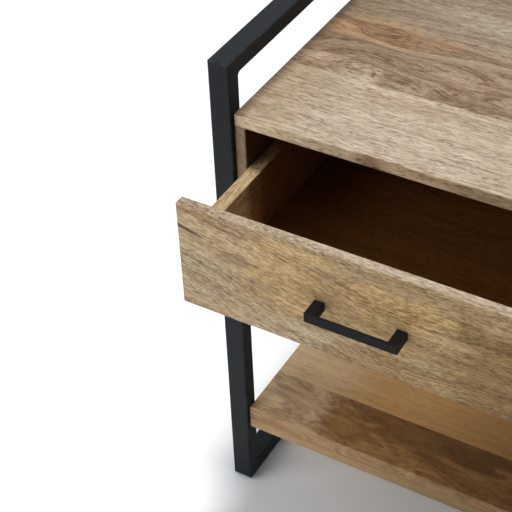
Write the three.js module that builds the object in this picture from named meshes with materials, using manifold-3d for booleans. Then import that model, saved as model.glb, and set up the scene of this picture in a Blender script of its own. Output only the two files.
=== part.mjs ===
// Side table with one drawer. Two closed loops of rectangular steel tube stand on their
// floor rails and carry a wooden cabinet with an inset drawer, and a thick lower shelf.
// The drawer slides on wooden runners that enter grooves in its sides.
//
// Millimetres, +Z up, X to the right across the front, Y to the back. The table is drawn
// about a bench origin: X = 0 on its centre line, Y = 0 on the front faces of the legs and
// Z = 0 on the underside of the floor rails. The last lines move it to its own origin,
// on the floor below the middle of its bounding box, with the drawer part open.

import * as THREE from 'three';
import { mergeVertices } from 'three/addons/utils/BufferGeometryUtils.js';
import Module from 'manifold-3d';

// ---------------------------------------------------------------- driving dimensions

// Steel side frames
const OVERALL_WIDTH = 500;
const FRAME_HEIGHT = 640;
const FRAME_DEPTH = 400;
const TUBE_WIDTH = 26; // across the table
const TUBE_DEPTH = 20; // in the plane of the loop
const TUBE_WALL = 1.5;
const TUBE_EDGE_RADIUS = 2;
const LOOP_CORNER_RADIUS = 3;
const WELD_FILLET_RADIUS = 10;

// Cabinet
const TOP_DROP = 63; // upper face of the top panel below the top of the frames
const TOP_THICKNESS = 15;
const SIDE_THICKNESS = 14;
const BOTTOM_THICKNESS = 15;
const BACK_THICKNESS = 10;
const BACK_INSET = 2; // back panel behind the rear edges of the side panels
const CABINET_SETBACK = 5; // wood behind the faces of the legs, front and rear

// Lower shelf
const SHELF_HEIGHT = 131; // upper face
const SHELF_THICKNESS = 18;
const SHELF_SETBACK = 4;
const LIP_HEIGHT = 15; // strips glued under the front and rear edges
const LIP_DEPTH = 42;

// Drawer
const DRAWER_OPENING = 140; // how far the drawer stands open as drawn
const FRONT_HEIGHT = 131.5;
const FRONT_THICKNESS = 13;
const FRONT_TOP_GAP = 2;
const FRONT_BOTTOM_GAP = 2;
const FRONT_END_GAP = 1;
const BOX_SIDE_HEIGHT = 78;
const BOX_SIDE_THICKNESS = 16;
const BOX_SIDE_GAP = 1.5; // between the box and the side panel
const BOX_BACK_THICKNESS = 14;
const BOX_BACK_DROP = 8; // back lower than the sides
const BOX_FLOOR_THICKNESS = 4;
const BOX_FLOOR_RISE = 1.5; // floor's underside above the front's lower edge
const BOX_REAR_GAP = 2; // behind the closed drawer

// Wooden runners
const RUNNER_HEIGHT = 12;
const RUNNER_REACH = 6; // into the groove
const RUNNER_GAP = 0.75; // above, below and beside the runner
const RUNNER_RISE = 34; // runner's underside above the drawer floor
const RUNNER_END_INSET = 22;

// Pull handle
const HANDLE_LENGTH = 101.5;
const HANDLE_FOOT = 11.5;
const HANDLE_SECTION_HEIGHT = 11;
const HANDLE_PROJECTION = 23.5;
const HANDLE_BAR_THICKNESS = 3.5;
const HANDLE_DROP = 2.25; // handle's middle below the middle of the front
const HANDLE_CORNER_RADIUS = 1.5;
const HANDLE_EDGE = 0.75;

// Screws that hold the wood to the legs, driven from outside through the tube
const FRAME_SCREW_DIAMETER = 4.5;
const FRAME_SCREW_HEAD_DIAMETER = 9;
const FRAME_SCREW_HEAD_HEIGHT = 2.5;
const FRAME_SCREW_INSET = 13; // from the outer face of the leg, in the plane of the loop
const PANEL_SCREW_BITE = 11; // length in a side panel
const PANEL_SCREW_EDGE = 36; // from the upper and lower edges of the side panels
const SHELF_SCREW_BITE = 28; // length in the end of the shelf
const HEX_KEY = 4;
const HEX_DEPTH = 1.5;

// Other fasteners
const HANDLE_SCREW_DIAMETER = 4;
const HANDLE_SCREW_HEAD_DIAMETER = 8;
const HANDLE_SCREW_HEAD_HEIGHT = 2.5;
const HANDLE_SCREW_GRIP = 10; // thread inside the foot of the handle
const RUNNER_SCREW_DIAMETER = 3.5;
const RUNNER_SCREW_HEAD_DIAMETER = 7;
const RUNNER_SCREW_HEAD_HEIGHT = 2;
const RUNNER_SCREW_BITE = 9; // length in the side panel
const RUNNER_SCREW_INSET = 45; // from each end of the runner
const SCREW_CLEARANCE = 0.3;
const HEAD_CHAMFER = 1;

// Plastic floor glides
const GLIDE_DIAMETER = 18;
const GLIDE_HEIGHT = 2;
const GLIDE_STEM_DIAMETER = 8;
const GLIDE_STEM_LENGTH = 7;
const GLIDE_CLEARANCE = 0.3;
const GLIDE_INSET = 34; // from the ends of the floor rail
const GLIDE_CHAMFER = 1;

// Wood and fits
const EDGE_EASE = 1.25; // rounding of the sawn edges
const THIN_EDGE_EASE = 0.5;
const GLUE_LINE = 0.125; // left between faces that are glued or screwed together
const CUT_MARGIN = 1; // cutting tools run this far past the faces they cut
const ROUND_SEGMENTS = 16;
const SCREW_SEGMENTS = 12;
const ARC_SEGMENTS = 4;

// ---------------------------------------------------------------- derived places

const halfWidth = OVERALL_WIDTH / 2;
const frameInnerX = halfWidth - TUBE_WIDTH;
const tubeCentreX = halfWidth - TUBE_WIDTH / 2;
const woodEndX = frameInnerX - GLUE_LINE;
const bayHalfWidth = woodEndX - SIDE_THICKNESS;

const topHeight = FRAME_HEIGHT - TOP_DROP;
const topUnderside = topHeight - TOP_THICKNESS;
const frontTop = topUnderside - FRONT_TOP_GAP;
const frontBottom = frontTop - FRONT_HEIGHT;
const cabinetFloor = frontBottom - FRONT_BOTTOM_GAP;
const cabinetUnderside = cabinetFloor - BOTTOM_THICKNESS;
const cabinetFront = CABINET_SETBACK;
const cabinetRear = FRAME_DEPTH - CABINET_SETBACK;
const backPanelRear = cabinetRear - BACK_INSET;
const backPanelFront = backPanelRear - BACK_THICKNESS;

const frontHalfWidth = bayHalfWidth - FRONT_END_GAP;
const boxHalfWidth = bayHalfWidth - BOX_SIDE_GAP;
const boxInnerX = boxHalfWidth - BOX_SIDE_THICKNESS;
const boxFloorBottom = frontBottom + BOX_FLOOR_RISE;
const boxFloorTop = boxFloorBottom + BOX_FLOOR_THICKNESS;
const boxSideBottom = boxFloorTop + GLUE_LINE;
const boxSideTop = boxSideBottom + BOX_SIDE_HEIGHT;
const frontFaceY = cabinetFront - DRAWER_OPENING;
const frontBackY = frontFaceY + FRONT_THICKNESS;
const boxStartY = frontBackY + GLUE_LINE;
const boxEndY = backPanelFront - BOX_REAR_GAP - DRAWER_OPENING;

const runnerBottom = boxFloorTop + RUNNER_RISE;
const runnerTop = runnerBottom + RUNNER_HEIGHT;
const runnerOuterX = bayHalfWidth - GLUE_LINE;
const runnerInnerX = boxHalfWidth - RUNNER_REACH;
const runnerStartY = cabinetFront + RUNNER_END_INSET;
const runnerEndY = backPanelFront - RUNNER_END_INSET;
const grooveDepth = RUNNER_REACH + RUNNER_GAP;

const handleZ = (frontTop + frontBottom) / 2 - HANDLE_DROP;
const shelfUnderside = SHELF_HEIGHT - SHELF_THICKNESS;
const frameScrewRows = [
  { label: 'upper', z: topUnderside - PANEL_SCREW_EDGE, bite: PANEL_SCREW_BITE },
  { label: 'lower', z: cabinetUnderside + PANEL_SCREW_EDGE, bite: PANEL_SCREW_BITE },
  { label: 'shelf', z: SHELF_HEIGHT - SHELF_THICKNESS / 2, bite: SHELF_SCREW_BITE },
];

// ---------------------------------------------------------------- materials

const finish = (color, roughness, metalness) =>
  new THREE.MeshStandardMaterial({ color, roughness, metalness });
const blackSteel = () => finish(0x24282b, 0.5, 0.3);
const lightMango = () => finish(0xb79c72, 0.6, 0);
const warmMango = () => finish(0xa88654, 0.6, 0);
const paleWood = () => finish(0xc0a47c, 0.65, 0);
const zincSteel = () => finish(0xa8aaa8, 0.35, 0.9);
const blackPlastic = () => finish(0x1c1c1c, 0.6, 0);

// ---------------------------------------------------------------- solid helpers

const wasm = await Module();
wasm.setup();

function toSolid(geometry) {
  const bare = geometry.clone();
  bare.deleteAttribute('normal');
  bare.deleteAttribute('uv');
  const merged = mergeVertices(bare);
  return new wasm.Manifold(
    new wasm.Mesh({
      numProp: 3,
      vertProperties: new Float32Array(merged.attributes.position.array),
      triVerts: new Uint32Array(merged.index.array),
    }),
  );
}

function toGeometry(solid) {
  const mesh = solid.getMesh();
  const geometry = new THREE.BufferGeometry();
  geometry.setAttribute('position', new THREE.BufferAttribute(mesh.vertProperties, mesh.numProp));
  geometry.setIndex(new THREE.BufferAttribute(mesh.triVerts, 1));
  geometry.computeVertexNormals();
  return geometry;
}

const cut = (geometry, tools) =>
  toGeometry(tools.reduce((solid, tool) => solid.subtract(toSolid(tool)), toSolid(geometry)));
const join = (geometry, extras) =>
  toGeometry(extras.reduce((solid, extra) => solid.add(toSolid(extra)), toSolid(geometry)));
const clip = (geometry, envelope) => toGeometry(toSolid(geometry).intersect(toSolid(envelope)));

// Extrusions of an outline drawn in two axes, along the third, from 0 to length.
const alongX = new THREE.Matrix4().makeBasis(
  new THREE.Vector3(0, 1, 0), new THREE.Vector3(0, 0, 1), new THREE.Vector3(1, 0, 0));
const alongMinusY = new THREE.Matrix4().makeBasis(
  new THREE.Vector3(1, 0, 0), new THREE.Vector3(0, 0, 1), new THREE.Vector3(0, -1, 0));

function extrude(outline, length, options = {}) {
  const settings = { depth: length, bevelEnabled: false, curveSegments: ARC_SEGMENTS, ...options };
  return new THREE.ExtrudeGeometry(outline, settings);
}

function roundedRectangle(x0, y0, x1, y1, radius, Outline = THREE.Shape) {
  const outline = new Outline();
  outline.moveTo(x0 + radius, y0);
  outline.lineTo(x1 - radius, y0);
  outline.absarc(x1 - radius, y0 + radius, radius, -Math.PI / 2, 0);
  outline.lineTo(x1, y1 - radius);
  outline.absarc(x1 - radius, y1 - radius, radius, 0, Math.PI / 2);
  outline.lineTo(x0 + radius, y1);
  outline.absarc(x0 + radius, y1 - radius, radius, Math.PI / 2, Math.PI);
  outline.lineTo(x0, y0 + radius);
  outline.absarc(x0 + radius, y0 + radius, radius, Math.PI, 1.5 * Math.PI);
  return outline;
}

// A cylinder along X, from x0 to x1, at (y, z).
function rodAlongX(x0, x1, y, z, radius, segments = ROUND_SEGMENTS) {
  const rod = new THREE.CylinderGeometry(radius, radius, x1 - x0, segments);
  rod.rotateZ(Math.PI / 2);
  rod.translate((x0 + x1) / 2, y, z);
  return rod;
}

// A cylinder along Y, from y0 to y1, at (x, z).
function rodAlongY(y0, y1, x, z, radius) {
  const rod = new THREE.CylinderGeometry(radius, radius, y1 - y0, ROUND_SEGMENTS);
  rod.translate(x, (y0 + y1) / 2, z);
  return rod;
}

// A turned piece whose profile is given as [radius, height] pairs, standing along +Z.
function turned(profile, segments = ROUND_SEGMENTS) {
  const points = profile.map(([radius, height]) => new THREE.Vector2(radius, height));
  return new THREE.LatheGeometry(points, segments).rotateX(Math.PI / 2);
}

// A board with every edge eased, centred on the origin.
function easedBoard(width, depth, height, ease) {
  const outline = roundedRectangle(-width / 2, -depth / 2, width / 2, depth / 2, 1.5 * ease);
  const board = extrude(outline, height - 2 * ease, {
    bevelEnabled: true,
    bevelThickness: ease,
    bevelSize: ease,
    bevelOffset: -ease,
    bevelSegments: 2,
    curveSegments: 2,
  });
  board.translate(0, 0, ease - height / 2);
  return board;
}

// ---------------------------------------------------------------- scene helpers

function named(name, geometry, material, position = [0, 0, 0]) {
  const mesh = new THREE.Mesh(geometry, material);
  mesh.name = name;
  mesh.position.set(...position);
  return mesh;
}

// A board between two corners; its tools are cut in bench coordinates.
function boardBetween(name, low, high, material, ease = EDGE_EASE, tools = []) {
  const size = high.map((value, axis) => value - low[axis]);
  const centre = high.map((value, axis) => (value + low[axis]) / 2);
  const blank = easedBoard(...size, ease);
  const local = tools.map((tool) => tool.clone().translate(...centre.map((value) => -value)));
  return named(name, local.length ? cut(blank, local) : blank, material, centre);
}

const sides = [
  { name: 'left', sign: -1 },
  { name: 'right', sign: 1 },
];
const ends = [
  { name: 'front', screwY: FRAME_SCREW_INSET },
  { name: 'rear', screwY: FRAME_DEPTH - FRAME_SCREW_INSET },
];
const spanX = (a, b, sign) => (sign > 0 ? [a, b] : [-b, -a]);

// ---------------------------------------------------------------- steel side frames

// Tube section with rounded outer edges, across by in-plane.
function tubeSection() {
  const section = roundedRectangle(-TUBE_WIDTH / 2, 0, TUBE_WIDTH / 2, TUBE_DEPTH, TUBE_EDGE_RADIUS);
  const bore = new THREE.Path();
  const halfBore = TUBE_WIDTH / 2 - TUBE_WALL;
  bore.moveTo(-halfBore, TUBE_WALL);
  bore.lineTo(-halfBore, TUBE_DEPTH - TUBE_WALL);
  bore.lineTo(halfBore, TUBE_DEPTH - TUBE_WALL);
  bore.lineTo(halfBore, TUBE_WALL);
  bore.closePath();
  section.holes.push(bore);
  return section;
}

// A tube of the loop with both ends mitred: outer face at local Y = 0, running along +Z.
function mitredTube(length) {
  const tube = extrude(tubeSection(), length);
  const corner = tube.attributes.position;
  for (let i = 0; i < corner.count; i += 1) {
    const inward = corner.getY(i);
    corner.setZ(i, corner.getZ(i) === 0 ? inward : length - inward);
  }
  return tube;
}

// The outline of the whole loop with its slightly rounded outer corners, as a block.
function loopBlock() {
  const outline = roundedRectangle(0, 0, FRAME_DEPTH, FRAME_HEIGHT, LOOP_CORNER_RADIUS);
  const width = TUBE_WIDTH + 2 * CUT_MARGIN;
  const block = extrude(outline, width);
  block.applyMatrix4(alongX);
  block.translate(-width / 2, 0, 0);
  return block;
}

// Concave weld fillet in an inner corner, rooted in the wall of the leg.
function weldFillet(atTop) {
  const root = TUBE_DEPTH - TUBE_WALL / 2;
  const face = TUBE_DEPTH + WELD_FILLET_RADIUS;
  const outline = new THREE.Shape();
  outline.moveTo(root, TUBE_DEPTH);
  outline.lineTo(face, TUBE_DEPTH);
  outline.absarc(face, face, WELD_FILLET_RADIUS, -Math.PI / 2, -Math.PI, true);
  outline.lineTo(root, face);
  outline.closePath();
  const width = TUBE_WIDTH - 2 * TUBE_EDGE_RADIUS;
  const fillet = extrude(outline, width, { curveSegments: 6 });
  fillet.applyMatrix4(alongX);
  fillet.translate(-width / 2, 0, 0);
  if (atTop) {
    fillet.rotateY(Math.PI);
    fillet.translate(0, 0, FRAME_HEIGHT);
  }
  return fillet;
}

function legGeometry() {
  const holeRadius = FRAME_SCREW_DIAMETER / 2 + SCREW_CLEARANCE;
  const reach = TUBE_WIDTH / 2 + CUT_MARGIN;
  const holes = frameScrewRows.map(({ z }) =>
    rodAlongX(-reach, reach, FRAME_SCREW_INSET, z, holeRadius, SCREW_SEGMENTS));
  const tube = clip(mitredTube(FRAME_HEIGHT), loopBlock());
  return join(cut(tube, holes), [weldFillet(false), weldFillet(true)]);
}

function railGeometry(holes) {
  const tube = mitredTube(FRAME_DEPTH);
  // Stand the tube's outer face on the floor: length along +Y, outer face down.
  tube.applyMatrix4(new THREE.Matrix4().makeBasis(
    new THREE.Vector3(-1, 0, 0), new THREE.Vector3(0, 0, 1), new THREE.Vector3(0, 1, 0)));
  return cut(clip(tube, loopBlock()), holes);
}

function sideFrame({ name, sign }) {
  const frame = new THREE.Group();
  frame.position.x = sign * tubeCentreX;
  const leg = legGeometry();
  const glideHoles = [GLIDE_INSET, FRAME_DEPTH - GLIDE_INSET].map((y) => {
    const hole = new THREE.CylinderGeometry(
      GLIDE_STEM_DIAMETER / 2 + GLIDE_CLEARANCE, GLIDE_STEM_DIAMETER / 2 + GLIDE_CLEARANCE,
      4 * TUBE_WALL, ROUND_SEGMENTS);
    return hole.rotateX(Math.PI / 2).translate(0, y, 0);
  });
  const frontLeg = named(`${name}_front_leg`, leg, blackSteel());
  const rearLeg = named(`${name}_rear_leg`, leg.clone(), blackSteel(), [0, FRAME_DEPTH, 0]);
  rearLeg.rotation.z = Math.PI;
  const floorRail = named(`${name}_floor_rail`, railGeometry(glideHoles), blackSteel());
  const topBar = named(`${name}_top_bar`, railGeometry([]), blackSteel(), [0, 0, FRAME_HEIGHT]);
  topBar.rotation.y = Math.PI;
  frame.add(frontLeg, rearLeg, floorRail, topBar);
  return frame;
}

// ---------------------------------------------------------------- frame screws

// Socket-head wood screw along +Z with its head's underside at Z = 0, shank below.
function frameScrew(bite) {
  const length = TUBE_WIDTH + 2 * GLUE_LINE + bite;
  const headRadius = FRAME_SCREW_HEAD_DIAMETER / 2;
  const radius = FRAME_SCREW_DIAMETER / 2;
  const body = turned([
    [0, -length],
    [radius, 2 * radius - length],
    [radius, 0],
    [headRadius, 0],
    [headRadius, FRAME_SCREW_HEAD_HEIGHT / 2],
    [headRadius - HEAD_CHAMFER, FRAME_SCREW_HEAD_HEIGHT],
    [0, FRAME_SCREW_HEAD_HEIGHT],
  ], SCREW_SEGMENTS);
  const keyRadius = HEX_KEY / Math.sqrt(3);
  const socket = new THREE.CylinderGeometry(keyRadius, keyRadius, 2 * HEX_DEPTH, 6);
  socket.rotateX(Math.PI / 2).translate(0, 0, FRAME_SCREW_HEAD_HEIGHT);
  return cut(body, [socket]);
}

const frameScrewSpots = sides.flatMap(({ name, sign }) =>
  ends.flatMap((end) =>
    frameScrewRows.map(({ label, z, bite }) => ({
      name: `${name}_${end.name}_${label}_screw`, sign, y: end.screwY, z, bite,
    }))));

function frameScrews() {
  const group = new THREE.Group();
  for (const { name, sign, y, z, bite } of frameScrewSpots) {
    const place = [sign * (halfWidth + GLUE_LINE), y, z];
    const screw = named(name, frameScrew(bite), zincSteel(), place);
    screw.rotation.y = sign * Math.PI / 2;
    group.add(screw);
  }
  return group;
}

// Blind holes for the frame screws, in the wood between heights z0 and z1.
function frameScrewHoles(z0, z1, signs) {
  const radius = FRAME_SCREW_DIAMETER / 2 + SCREW_CLEARANCE;
  return frameScrewSpots
    .filter(({ sign, z }) => signs.includes(sign) && z > z0 && z < z1)
    .map(({ sign, y, z, bite }) => {
      const [x0, x1] = spanX(woodEndX - bite - SCREW_CLEARANCE, woodEndX + CUT_MARGIN, sign);
      return rodAlongX(x0, x1, y, z, radius, SCREW_SEGMENTS);
    });
}

// ---------------------------------------------------------------- cabinet

const runnerScrewSpots = [runnerStartY + RUNNER_SCREW_INSET, runnerEndY - RUNNER_SCREW_INSET];
const runnerMiddle = (runnerBottom + runnerTop) / 2;

function cabinet() {
  const group = new THREE.Group();
  const top = boardBetween(
    'top_panel',
    [-woodEndX, cabinetFront, topUnderside],
    [woodEndX, cabinetRear, topHeight],
    lightMango());
  const bottom = boardBetween(
    'cabinet_bottom',
    [-(bayHalfWidth - GLUE_LINE), cabinetFront, cabinetUnderside],
    [bayHalfWidth - GLUE_LINE, cabinetRear, cabinetFloor],
    warmMango());
  const back = boardBetween(
    'back_panel',
    [-(bayHalfWidth - GLUE_LINE), backPanelFront, cabinetFloor + GLUE_LINE],
    [bayHalfWidth - GLUE_LINE, backPanelRear, topUnderside - GLUE_LINE],
    warmMango(), THIN_EDGE_EASE);
  group.add(top, bottom, back);
  for (const { name, sign } of sides) {
    const [x0, x1] = spanX(bayHalfWidth, woodEndX, sign);
    const screwHoles = runnerScrewSpots.map((y) => {
      const holeEnd = bayHalfWidth + RUNNER_SCREW_BITE + SCREW_CLEARANCE;
      const [inner, outer] = spanX(bayHalfWidth - CUT_MARGIN, holeEnd, sign);
      const radius = RUNNER_SCREW_DIAMETER / 2 + SCREW_CLEARANCE;
      return rodAlongX(inner, outer, y, runnerMiddle, radius, SCREW_SEGMENTS);
    });
    group.add(boardBetween(
      `${name}_side_panel`,
      [x0, cabinetFront, cabinetUnderside],
      [x1, cabinetRear, topUnderside - GLUE_LINE],
      warmMango(), EDGE_EASE,
      [...frameScrewHoles(cabinetUnderside, topUnderside, [sign]), ...screwHoles]));
  }
  return group;
}

// Countersunk wood screw along +Z: its head's flat face at Z = 0, its point below.
function runnerScrew(length) {
  const headRadius = RUNNER_SCREW_HEAD_DIAMETER / 2;
  const radius = RUNNER_SCREW_DIAMETER / 2;
  return turned([
    [0, -length],
    [radius, -length + 2 * radius],
    [radius, -RUNNER_SCREW_HEAD_HEIGHT],
    [headRadius, 0],
    [0, 0],
  ], SCREW_SEGMENTS);
}

// The countersunk hole that the screw sits in, open past both faces of the runner.
function runnerScrewHole(thickness) {
  const headRadius = RUNNER_SCREW_HEAD_DIAMETER / 2 + SCREW_CLEARANCE;
  const radius = RUNNER_SCREW_DIAMETER / 2 + SCREW_CLEARANCE;
  return turned([
    [0, -thickness - CUT_MARGIN],
    [radius, -thickness - CUT_MARGIN],
    [radius, -RUNNER_SCREW_HEAD_HEIGHT - SCREW_CLEARANCE],
    [headRadius, 0],
    [headRadius, CUT_MARGIN],
    [0, CUT_MARGIN],
  ], SCREW_SEGMENTS);
}

function runners() {
  const group = new THREE.Group();
  const thickness = runnerOuterX - runnerInnerX;
  const screw = runnerScrew(thickness + GLUE_LINE + RUNNER_SCREW_BITE);
  for (const { name, sign } of sides) {
    const [x0, x1] = spanX(runnerInnerX, runnerOuterX, sign);
    const faceX = sign * runnerInnerX;
    const turn = -sign * Math.PI / 2;
    const holes = runnerScrewSpots.map((y) =>
      runnerScrewHole(thickness).rotateY(turn).translate(faceX, y, runnerMiddle));
    group.add(boardBetween(
      `${name}_runner`, [x0, runnerStartY, runnerBottom], [x1, runnerEndY, runnerTop],
      paleWood(), THIN_EDGE_EASE, holes));
    runnerScrewSpots.forEach((y, index) => {
      const fastener = named(
        `${name}_runner_screw_${index + 1}`, screw.clone(), zincSteel(), [faceX, y, runnerMiddle]);
      fastener.rotation.y = turn;
      group.add(fastener);
    });
  }
  return group;
}

// ---------------------------------------------------------------- lower shelf

function shelf() {
  const group = new THREE.Group();
  const front = SHELF_SETBACK;
  const rear = FRAME_DEPTH - SHELF_SETBACK;
  const lipTop = shelfUnderside - GLUE_LINE;
  group.add(
    boardBetween(
      'shelf_board', [-woodEndX, front, shelfUnderside], [woodEndX, rear, SHELF_HEIGHT],
      warmMango(), EDGE_EASE, frameScrewHoles(shelfUnderside, SHELF_HEIGHT, [-1, 1])),
    boardBetween(
      'shelf_front_lip', [-woodEndX, front, lipTop - LIP_HEIGHT], [woodEndX, front + LIP_DEPTH, lipTop],
      warmMango(), EDGE_EASE),
    boardBetween(
      'shelf_rear_lip', [-woodEndX, rear - LIP_DEPTH, lipTop - LIP_HEIGHT], [woodEndX, rear, lipTop],
      warmMango(), EDGE_EASE));
  return group;
}

// ---------------------------------------------------------------- floor glides

function glides() {
  const group = new THREE.Group();
  const radius = GLIDE_DIAMETER / 2;
  const shape = turned([
    [0, -GLIDE_HEIGHT],
    [radius - GLIDE_CHAMFER, -GLIDE_HEIGHT],
    [radius, GLIDE_CHAMFER - GLIDE_HEIGHT],
    [radius, -GLUE_LINE],
    [GLIDE_STEM_DIAMETER / 2, -GLUE_LINE],
    [GLIDE_STEM_DIAMETER / 2, GLIDE_STEM_LENGTH - GLIDE_CHAMFER],
    [GLIDE_STEM_DIAMETER / 2 - GLIDE_CHAMFER, GLIDE_STEM_LENGTH],
    [0, GLIDE_STEM_LENGTH],
  ]);
  for (const { name, sign } of sides) {
    const x = sign * tubeCentreX;
    group.add(
      named(`${name}_front_glide`, shape.clone(), blackPlastic(), [x, GLIDE_INSET, 0]),
      named(`${name}_rear_glide`, shape.clone(), blackPlastic(), [x, FRAME_DEPTH - GLIDE_INSET, 0]));
  }
  return group;
}

// ---------------------------------------------------------------- drawer

const handleHalfLength = HANDLE_LENGTH / 2;
const handleBoreRadius = HANDLE_SCREW_DIAMETER / 2 + SCREW_CLEARANCE;
const handleScrewX = handleHalfLength - HANDLE_FOOT / 2;

function drawerFront() {
  const holes = [-handleScrewX, handleScrewX].map((x) =>
    rodAlongY(frontFaceY - CUT_MARGIN, frontBackY + CUT_MARGIN, x, handleZ, handleBoreRadius));
  return boardBetween(
    'drawer_front', [-frontHalfWidth, frontFaceY, frontBottom], [frontHalfWidth, frontBackY, frontTop],
    lightMango(), EDGE_EASE, holes);
}

// Section of the left drawer side, outer face at X = 0, with the runner's groove.
function drawerSideSection() {
  const grooveBottom = runnerBottom - RUNNER_GAP - boxSideBottom;
  const grooveTop = runnerTop + RUNNER_GAP - boxSideBottom;
  const ease = EDGE_EASE;
  const section = new THREE.Shape();
  section.moveTo(0, 0);
  section.lineTo(BOX_SIDE_THICKNESS, 0);
  section.lineTo(BOX_SIDE_THICKNESS, BOX_SIDE_HEIGHT - ease);
  section.absarc(BOX_SIDE_THICKNESS - ease, BOX_SIDE_HEIGHT - ease, ease, 0, Math.PI / 2);
  section.lineTo(ease, BOX_SIDE_HEIGHT);
  section.absarc(ease, BOX_SIDE_HEIGHT - ease, ease, Math.PI / 2, Math.PI);
  section.lineTo(0, grooveTop);
  section.lineTo(grooveDepth, grooveTop);
  section.lineTo(grooveDepth, grooveBottom);
  section.lineTo(0, grooveBottom);
  section.closePath();
  return section;
}

function drawerSide({ name, sign }) {
  const length = boxEndY - boxStartY;
  const side = extrude(drawerSideSection(), length, { curveSegments: 2 });
  side.applyMatrix4(alongMinusY);
  side.translate(0, length / 2, 0);
  const mesh = named(
    `drawer_${name}_side`, side, paleWood(),
    [sign * boxHalfWidth, (boxStartY + boxEndY) / 2, boxSideBottom]);
  mesh.rotation.z = sign > 0 ? Math.PI : 0;
  return mesh;
}

// Pull handle: two square feet and a flat bar in one piece, outline drawn from above.
function handleGeometry() {
  const outerX = handleHalfLength;
  const innerX = handleHalfLength - HANDLE_FOOT;
  const faceY = -HANDLE_PROJECTION;
  const gapY = faceY + HANDLE_BAR_THICKNESS;
  const radius = HANDLE_CORNER_RADIUS;
  const outline = new THREE.Shape();
  outline.moveTo(innerX, 0);
  outline.lineTo(innerX, gapY + radius);
  outline.absarc(innerX - radius, gapY + radius, radius, 0, -Math.PI / 2, true);
  outline.lineTo(radius - innerX, gapY);
  outline.absarc(radius - innerX, gapY + radius, radius, -Math.PI / 2, -Math.PI, true);
  outline.lineTo(-innerX, 0);
  outline.lineTo(-outerX, 0);
  outline.lineTo(-outerX, faceY + radius);
  outline.absarc(radius - outerX, faceY + radius, radius, Math.PI, 1.5 * Math.PI);
  outline.lineTo(outerX - radius, faceY);
  outline.absarc(outerX - radius, faceY + radius, radius, -Math.PI / 2, 0);
  outline.lineTo(outerX, 0);
  outline.closePath();
  const handle = extrude(outline, HANDLE_SECTION_HEIGHT - 2 * HANDLE_EDGE, {
    bevelEnabled: true,
    bevelThickness: HANDLE_EDGE,
    bevelSize: HANDLE_EDGE,
    bevelOffset: -HANDLE_EDGE,
    bevelSegments: 2,
    curveSegments: 3,
  });
  handle.translate(0, 0, HANDLE_EDGE - HANDLE_SECTION_HEIGHT / 2);
  const bores = [-handleScrewX, handleScrewX].map((x) =>
    rodAlongY(-HANDLE_SCREW_GRIP - SCREW_CLEARANCE, CUT_MARGIN, x, 0, handleBoreRadius));
  return cut(handle, bores);
}

// Pan-head screw along +Z: its head's underside at Z = 0, its end below.
function handleScrew() {
  const length = FRONT_THICKNESS + GLUE_LINE + HANDLE_SCREW_GRIP;
  const radius = HANDLE_SCREW_DIAMETER / 2;
  const headRadius = HANDLE_SCREW_HEAD_DIAMETER / 2;
  return turned([
    [0, -length],
    [radius, -length],
    [radius, 0],
    [headRadius, 0],
    [headRadius, HANDLE_SCREW_HEAD_HEIGHT / 2],
    [headRadius / 2, HANDLE_SCREW_HEAD_HEIGHT],
    [0, HANDLE_SCREW_HEAD_HEIGHT],
  ]);
}

function drawer() {
  const group = new THREE.Group();
  const backX = boxInnerX - GLUE_LINE;
  const back = boardBetween(
    'drawer_back', [-backX, boxEndY - BOX_BACK_THICKNESS, boxSideBottom],
    [backX, boxEndY, boxSideTop - BOX_BACK_DROP], paleWood(), THIN_EDGE_EASE);
  const floor = boardBetween(
    'drawer_floor', [-boxHalfWidth, boxStartY, boxFloorBottom],
    [boxHalfWidth, boxEndY, boxFloorTop], paleWood(), THIN_EDGE_EASE);
  const handle = named(
    'drawer_handle', handleGeometry(), blackSteel(), [0, frontFaceY - GLUE_LINE, handleZ]);
  group.add(drawerFront(), ...sides.map(drawerSide), back, floor, handle);
  const screw = handleScrew();
  for (const { name, sign } of sides) {
    const place = [sign * handleScrewX, frontBackY + GLUE_LINE, handleZ];
    const fastener = named(`${name}_handle_screw`, screw.clone(), zincSteel(), place);
    fastener.rotation.x = -Math.PI / 2;
    group.add(fastener);
  }
  return group;
}

// ---------------------------------------------------------------- the table

// The open drawer's handle is the frontmost point and the rear legs are the rearmost.
const frontmost = frontFaceY - GLUE_LINE - HANDLE_PROJECTION;
const table = new THREE.Group();
table.position.set(0, -(frontmost + FRAME_DEPTH) / 2, GLIDE_HEIGHT);
table.add(...sides.map(sideFrame), frameScrews(), cabinet(), runners(), shelf(), glides(), drawer());

export default table;
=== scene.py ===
"""Side table with one drawer: its finishes, a plain studio and the camera.

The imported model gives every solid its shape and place. This file gives them mango wood,
powder-coated steel, zinc and plastic, and sets the floor, the lamps and the camera.
Lengths are in metres, +Z is up, X runs across the front and Y to the back.
"""

import math
from typing import NamedTuple

import bpy
from bpy.props import (
    FloatProperty,
    FloatVectorProperty,
    IntProperty,
    PointerProperty,
)
from mathutils import Matrix, Vector


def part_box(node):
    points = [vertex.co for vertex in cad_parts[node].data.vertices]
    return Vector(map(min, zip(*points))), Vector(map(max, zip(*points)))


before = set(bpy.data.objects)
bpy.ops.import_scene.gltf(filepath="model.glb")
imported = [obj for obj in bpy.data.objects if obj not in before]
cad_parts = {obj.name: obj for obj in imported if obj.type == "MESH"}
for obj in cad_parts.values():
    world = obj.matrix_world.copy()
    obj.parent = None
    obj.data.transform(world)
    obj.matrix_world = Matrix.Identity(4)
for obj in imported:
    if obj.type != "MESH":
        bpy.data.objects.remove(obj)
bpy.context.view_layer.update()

bl_info = {
    "name": "Side Table with Drawer",
    "version": (1, 0, 0),
    "blender": (4, 5, 0),
    "location": "3D View > Sidebar > Side Table",
    "description": "Dresses the side table in mango wood and black steel and sets its studio",
    "category": "Object",
}


# ---------------------------------------------------------------- settings


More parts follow.
